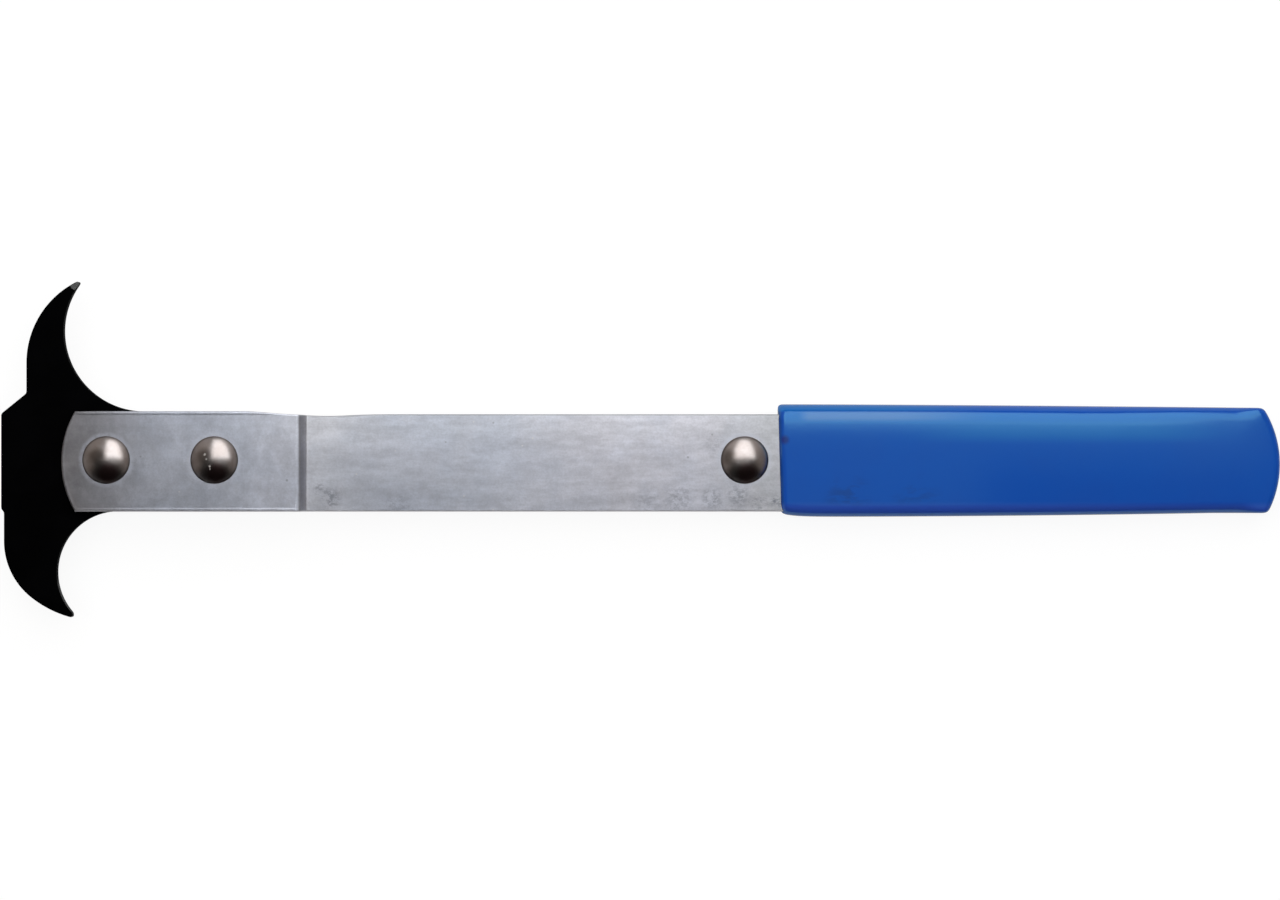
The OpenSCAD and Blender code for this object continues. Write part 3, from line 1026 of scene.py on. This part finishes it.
def zinc_plate(tool):
    """Satin zinc: blotched in the head and streaked lengthwise in the tail, with a fine grain. Its
    tone goes from lilac at the front through a cold grey to a plain one near the grip. Painted
    shade darkens the front. Painted light brightens the tail, both sides of the set, the part near
    the grip and the upper half up to the set. It has worn rings where the rivets were set, smudges
    and specks, a painted shade line at the foot of the set and along the upper edge, and a lower
    edge paled as painted light."""
    s, r = tool.strip, tool.rivet
    material, shader, place = blank("zinc_plate")
    zinc = np.array(s.zinc)
    along, across = tool_axes(place)
    past = math_node("SUBTRACT", along, s.set_x)
    patches = noise(place, 75, 4, 0.55)
    mottle = noise(place, 640, 4, 0.65)
    grain = noise(place, 1900, 3, 0.6)
    blots = noise(place, 1.0, 4, 0.6, (290.0, 190.0, 200.0))
    streaks = noise(place, 1.0, 5, 0.62, (125.0, 430.0, 200.0))
    scuffs = noise(place, 1.0, 3, 0.55, (110.0, 900.0, 500.0))
    wide = noise(place, 1.0, 3, 0.5, (48.0, 150.0, 90.0))
    drift = mix(ramp(past, -0.0035, 0.0065), blots, streaks)

    # painted shade: the colour darkens towards the front end
    base = mix(ramp(along, 0.016, 0.042), zinc * [0.61, 0.565, 0.525], zinc)
    # painted light: the colour is brightened towards the tail, on both sides of the set and near the
    # grip
    for mask, weight, tone in (
        (ramp(along, 0.115, 0.155), 1.0, (1.15, 1.11, 1.085)),
        (band(past, (0.001, 0.003), (0.0265, 0.0035)), 0.6, (1.27, 1.22, 1.15)),
        (band(past, (-0.0175, -0.0075), (0.001, 0.0)), 0.6, (1.22, 1.2, 1.19)),
        (ramp(along, 0.172, 0.196), 1.0, (1.08, 1.045, 0.975)),
    ):
        base = tinted(base, mask, zinc * tone, weight)
    # painted light: the upper half is lightened, up to just past the set
    upper = times(ramp(across, 0.001, 0.010), ramp(past, -0.0285, 0.0115))
    base = mix(upper, base, (1.09, 1.09, 1.075), "MULTIPLY")
    base = mix(ramp(patches, 0.38, 0.62), base, (0.97, 0.985, 1.0), "MULTIPLY")
    clouds = ((wide, 0.06), (drift, 0.085), (mottle, 0.045), (grain, 0.045), (scuffs, 0.02))
    for cloud, weight in clouds:
        base = shade(base, cloud, weight)

    worn = ramp(mottle, 0.3, 0.6, 0.5, 1.0)
    for _, _, x, stack in rivet_rows(tool):
        for up in (1, -1):
            ring = close_to(place, [x, r.row_y, up * stack], 0.0073, 0.0063)
            base = tinted(base, times(ring, worn), zinc * 1.2, 0.5)
    smudge = ramp(noise(place, 1.0, 5, 0.72, (800.0, 1150.0, 900.0)), 0.44, 0.60)
    for x, y, reach, weight in SMUDGES:
        mark = close_to(place, [x, y, s.thickness], reach, reach * 0.2)
        base = tinted(base, times(mark, smudge), zinc * [0.27, 0.29, 0.34], weight)
    base = tinted(base, specks(place, 330, 0.13, 0.10), zinc * 0.45, 0.5)
    base = tinted(base, specks(place, 410, 0.12, 0.08), (0.85, 0.84, 0.84), 0.6)

    # painted shade: a dark colour laid in the crease at the foot of the set and in a line along the
    # upper edge behind it
    dark = zinc * 0.14
    painted_crease_shade = band(past, (0.0007, 0.0015), (0.0027, 0.0019))
    base = tinted(base, painted_crease_shade, dark, 0.22)
    top, foot = s.width / 2 - s.relief, -s.width / 2
    waist = band(past, (-0.0005, 0.0055), (0.0185, 0.0115))
    high = math_node("MULTIPLY_ADD", waist, 0.00038, across)
    # painted shade: a dark line along the upper edge, behind the set
    line = times(ramp(high, top - 0.00048, top - 0.00022), ramp(past, 0.001, 0.0045))
    base = tinted(base, line, dark, 0.55)
    # painted light: the lower edge is made pale and rough
    low = ramp(across, foot + 0.00036, foot + 0.00016)
    base = tinted(base, low, (0.95, 0.95, 0.97), 0.9)
    rough = ramp(mottle, 0.3, 0.7, 0.36, 0.44)
    plug(shader, {
        "Base Color": base,
        "Roughness": math_node("MULTIPLY_ADD", low, 0.5, rough),
        "Metallic": 1.0,
        "Normal": bump(scuffs, 0.00003, 0.35, bump(grain, 0.00002, 0.35)),
    })
    return material


def rivet_steel(tool):
    """Smooth headed steel: warm grey and a little clouded. Each head has painted shade: a dark rim,
    a dark reddish brown lower side and a dark zone on its left. The tang rivet's has a few bright
    nicks."""
    r = tool.rivet
    material, shader, place = blank("rivet_steel")
    steel = np.array(r.steel)
    cloud = noise(place, 350, 4, 0.6)
    base = mix(ramp(cloud, 0.35, 0.7), steel, steel * [0.88, 0.85, 0.83])
    rough = ramp(cloud, 0.3, 0.7, 0.282, 0.300)
    # for each rivet, where its painted dark zone is beside its middle and how far out its painted
    # dark rim starts
    shade_zones = ((-0.0022, 0.00535), (-0.0023, 0.00535), (-0.0042, 0.00525))
    for (_, _, x, stack), (left, start) in zip(rivet_rows(tool), shade_zones):
        for up in (1, -1):
            middle = np.array([x, r.row_y, up * stack])
            out = distance_to(place, middle)
            # painted shade: a dark rim
            rim = band(out, (start, start + 0.0005), (0.0066, 0.0063))
            # painted shade: the lower side darkened to a reddish brown
            low = close_to(place, middle + [0.0006, -0.0034, up * 0.0016], 0.0036, 0.0014)
            # painted shade: a dark zone left of the middle
            painted_shade_left = close_to(place, middle + [left, 0.0009, up * 0.002], 0.0028, 0.0008)
            base = tinted(base, rim, (0.06, 0.05, 0.048), 0.65)
            base = tinted(base, low, steel * [0.42, 0.22, 0.24], 0.8)
            base = tinted(base, painted_shade_left, steel * [0.3, 0.27, 0.24], 0.65)
    ragged = ramp(noise(place, 2600, 2), 0.42, 0.55, 0.5, 1.0)
    tang = np.array([r.tang_x, r.row_y, rivet_rows(tool)[1][3]])
    for at, reach in NICKS:
        nick = times(close_to(place, tang + at, reach, reach * 0.4), ragged)
        base = mix(nick, base, (0.97, 0.95, 0.92))
        rough = math_node("MULTIPLY_ADD", nick, 0.5, rough)
    grain = noise(place, 900, 3, 0.6)
    plug(shader, {
        "Base Color": base,
        "Metallic": 1.0,
        "Roughness": rough,
        "Normal": bump(grain, 0.00003, 0.3),
    })
    return material


def vinyl(g):
    """Dipped vinyl: deep blue and glossy, with a faint cloud and pores. It has a spot at the mouth
    and two smears. Painted shade darkens the mouth's rim, painted highlights lie along its upper
    side, and painted light makes its lower side paler."""
    material, shader, place = blank("blue_vinyl")
    blue = np.array(g.vinyl)
    along, across = tool_axes(place)
    mouth, face = mouth_x(g), g.half_thickness - 0.0001
    past = math_node("SUBTRACT", along, mouth)
    cloud = noise(place, 60, 3, 0.5)
    smear = ramp(noise(place, 1.0, 4, 0.65, (160.0, 420.0, 200.0)), 0.44, 0.62)
    base = mix(ramp(cloud, 0.35, 0.65), blue, blue * [1.15, 0.94, 0.97])
    spot = close_to(place, [mouth + 0.0013, 0.0054, face - 0.0001], 0.0016, 0.0004)
    base = tinted(base, spot, (0.02, 0.018, 0.17), 0.85)
    for x, y, reach, weight in (
        (mouth + 0.0171, -0.0091, 0.0075, 0.55),
        (mouth + 0.0338, -0.0098, 0.0080, 0.35),
    ):
        mark = times(close_to(place, [x, y, face], reach, reach * 0.25), smear)
        base = tinted(base, mark, (0.010, 0.036, 0.21), weight)

    # painted shade: the mouth's wall is darkened
    into = math_node("MULTIPLY_ADD", across, math.tan(g.mouth_slant), past)
    rim = ramp(into, 0.00099, 0.00029)
    # painted highlight along the upper side, near the mouth
    painted_highlight = times(
        band(across, (0.0096, 0.0110), (0.0131, 0.0118)),
        band(past, (0.0043, 0.0078), (0.0558, 0.0258)),
    )
    # painted highlight: a broad band over the upper face, further from the mouth
    painted_broad_highlight = times(
        band(across, (0.0040, 0.0070), (0.0106, 0.0082)),
        band(past, (0.0238, 0.0558), (0.1168, 0.0908)),
    )
    # painted highlight along the upper edge, near the mouth
    upper = times(ramp(across, 0.0121, 0.0129), ramp(past, 0.0558, 0.0258))
    # painted light: the lower side is made paler
    lower = ramp(across, -0.0098, -0.0116)
    for mask, weight, tint in (
        (rim, 0.5, (0.003, 0.026, 0.12)),
        (painted_highlight, 1.0, (0.075, 0.125, 0.43)),
        (painted_broad_highlight, 1.0, (0.010, 0.102, 0.435)),
        (upper, 0.8, (0.004, 0.122, 0.44)),
        (lower, 1.0, (0.026, 0.078, 0.43)),
    ):
        base = tinted(base, mask, tint, weight)
    rough = ramp(past, 0.0008, 0.1058, 0.125, 0.165)
    plug(shader, {
        "Base Color": base,
        "Roughness": math_node("ADD", rough, ramp(cloud, 0.3, 0.7, 0.0, 0.02)),
        "Specular IOR Level": 1.0,
        "Specular Tint": (*g.sheen, 1.0),
        "Coat Weight": 0.25,
        "Coat Roughness": 0.12,
        "Normal": bump(noise(place, 1300, 3, 0.6), 0.00002, 0.25),
    })
    return material


# Stage

WHITE = (1.0, 1.0, 1.0, 1.0)


def floor_material():
    """Pale floor: white to the camera and dimmer in reflections, and it keeps the tool's shadow."""
    material = bpy.data.materials.new("pale_floor")
    material.use_nodes = True
    tree = material.node_tree
    tree.nodes.clear()
    rays = node(tree, "LightPath").outputs
    seen = math_node("MAXIMUM", rays["Is Glossy Ray"], rays["Is Transmission Ray"])
    seen = math_node("MAXIMUM", seen, times(rays["Is Camera Ray"], 0.86))
    matt = node(tree, "BsdfDiffuse", {"Color": (0.9, 0.9, 0.9, 1.0)})
    level = ramp(rays["Is Glossy Ray"], 0.0, 1.0, 1.05, 0.5)
    glow = node(tree, "Emission", {"Color": WHITE, "Strength": level})
    both = node(tree, "MixShader", {0: seen, 1: matt.outputs[0], 2: glow.outputs[0]})
    node(tree, "OutputMaterial", {"Surface": both.outputs[0]})
    return material


def room_light(st):
    """The room: white to the camera. To gloss it is near dark over the tool, and has a warm light
    to the left and right and on the far side."""
    world = bpy.data.worlds.new("room")
    world.use_nodes = True
    tree = world.node_tree
    tree.nodes.clear()
    rays = node(tree, "LightPath").outputs
    way = node(tree, "TexCoord").outputs["Generated"]
    parts = node(tree, "SeparateXYZ", {"Vector": way}).outputs
    aside = math_node("ABSOLUTE", parts["X"])
    aside = math_node("MULTIPLY_ADD", parts["Y"], 0.35, aside)
    walls_light = ramp(aside, 0.42, 0.85, st.room, st.walls)
    far_light = ramp(parts["Y"], 0.2, 0.9, 0.0, st.far)
    lit = math_node("ADD", walls_light, far_light)
    room = node(tree, "Background", {"Color": (1.0, 0.88, 0.8, 1.0), "Strength": lit})
    white = node(tree, "Background", {"Color": WHITE, "Strength": 1.0})
    inputs = {0: rays["Is Camera Ray"], 1: room.outputs[0], 2: white.outputs[0]}
    both = node(tree, "MixShader", inputs)
    node(tree, "OutputWorld", {"Surface": both.outputs[0]})
    return world


def lamp(name, size, power):
    """A soft rectangular lamp that the camera doesn't see."""
    data = bpy.data.lights.new(name, "AREA")
    data.shape = "RECTANGLE"
    data.size, data.size_y = size
    data.energy = power
    obj = add(name, data)
    obj.visible_camera = False
    return obj


def soft_lamp(name, middle, size, strength):
    """A lamp that only gloss sees, level over the straight tool. A strength of 1 is
    seen as white in a mirror, so its power is four times its strength times its area."""
    obj = lamp(name, size, 4 * strength * size[0] * size[1])
    _, c, s = rest()
    obj.location = lay(middle)
    obj.rotation_euler.y = math.atan2(s, c)
    obj.visible_diffuse = False


def camera_over(st):
    """The camera, square over the straight tool."""
    _, c, s = rest()
    data = bpy.data.cameras.new("camera")
    data.lens = st.lens
    data.sensor_width = 36.0
    data.clip_end = 20.0
    camera = add("camera", data)
    look = lay([st.look_x, st.look_y, 0.003])
    camera.location = look + np.array([s, 0.0, c]) * st.distance
    camera.rotation_euler.y = math.atan2(s, c)
    return camera


class HOOKTOOL_OT_stage(bpy.types.Operator):
    """Makes the floor, the lamps, the room's light and the camera."""

    bl_idname = "hooktool.stage"
    bl_label = "Stage"

    def execute(self, context):
        scene = context.scene
        st = scene.hook_tool.stage
        side = 6.0
        mesh = bpy.data.meshes.new("floor")
        corners = [(-side, -side, 0), (side, -side, 0), (side, side, 0), (-side, side, 0)]
        mesh.from_pydata(corners, [], [(0, 1, 2, 3)])
        mesh.materials.append(floor_material())
        add("floor", mesh)
        scene.world = room_light(st)

        for name, (left, right, low, high, strength) in SOFT_BOX.items():
            middle = ((left + right) / 2, (low + high) / 2, st.lamp_z)
            soft_lamp(name, middle, (right - left, high - low), st.glow * strength)
        fill = lamp("fill", (2.4, 2.4), st.fill_power)
        fill.location = (0.0, 0.55, 1.2)
        fill.rotation_euler = Vector(fill.location).to_track_quat("Z", "Y").to_euler()
        fill.visible_glossy = False

        scene.camera = camera_over(st)
        scene.view_settings.view_transform = "Standard"
        return {"FINISHED"}


# Panel and registration

OPERATORS = (
    HOOKTOOL_OT_blade,
    HOOKTOOL_OT_strips,
    HOOKTOOL_OT_rivets,
    HOOKTOOL_OT_grip,
    HOOKTOOL_OT_stage,
)


class HOOKTOOL_PT_panel(bpy.types.Panel):
    """Lists the pieces of the tool and their sizes."""

    bl_idname = "HOOKTOOL_PT_panel"
    bl_label = "Double Hook Tool"
    bl_space_type = "VIEW_3D"
    bl_region_type = "UI"
    bl_category = "Hook Tool"

    def draw(self, context):
        tool = context.scene.hook_tool
        for operator in OPERATORS:
            self.layout.operator(operator.bl_idname)
        for name, group in GROUPS.items():
            box = self.layout.box()
            box.label(text=name.capitalize())
            for prop in group.__annotations__:
                box.prop(getattr(tool, name), prop)


CLASSES = (*GROUPS.values(), HOOKTOOL_PG_all, *OPERATORS, HOOKTOOL_PT_panel)


def register():
    """Adds the classes, and the sizes to the scene."""
    for cls in CLASSES:
        bpy.utils.register_class(cls)
    bpy.types.Scene.hook_tool = PointerProperty(type=HOOKTOOL_PG_all)


def unregister():
    """Takes them out again."""
    del bpy.types.Scene.hook_tool
    for cls in reversed(CLASSES):
        bpy.utils.unregister_class(cls)


def main():
    """Makes every piece and the stage."""
    register()
    bpy.ops.hooktool.blade()
    bpy.ops.hooktool.strips()
    bpy.ops.hooktool.rivets()
    bpy.ops.hooktool.grip()
    bpy.ops.hooktool.stage()


if __name__ == "__main__":
    main()
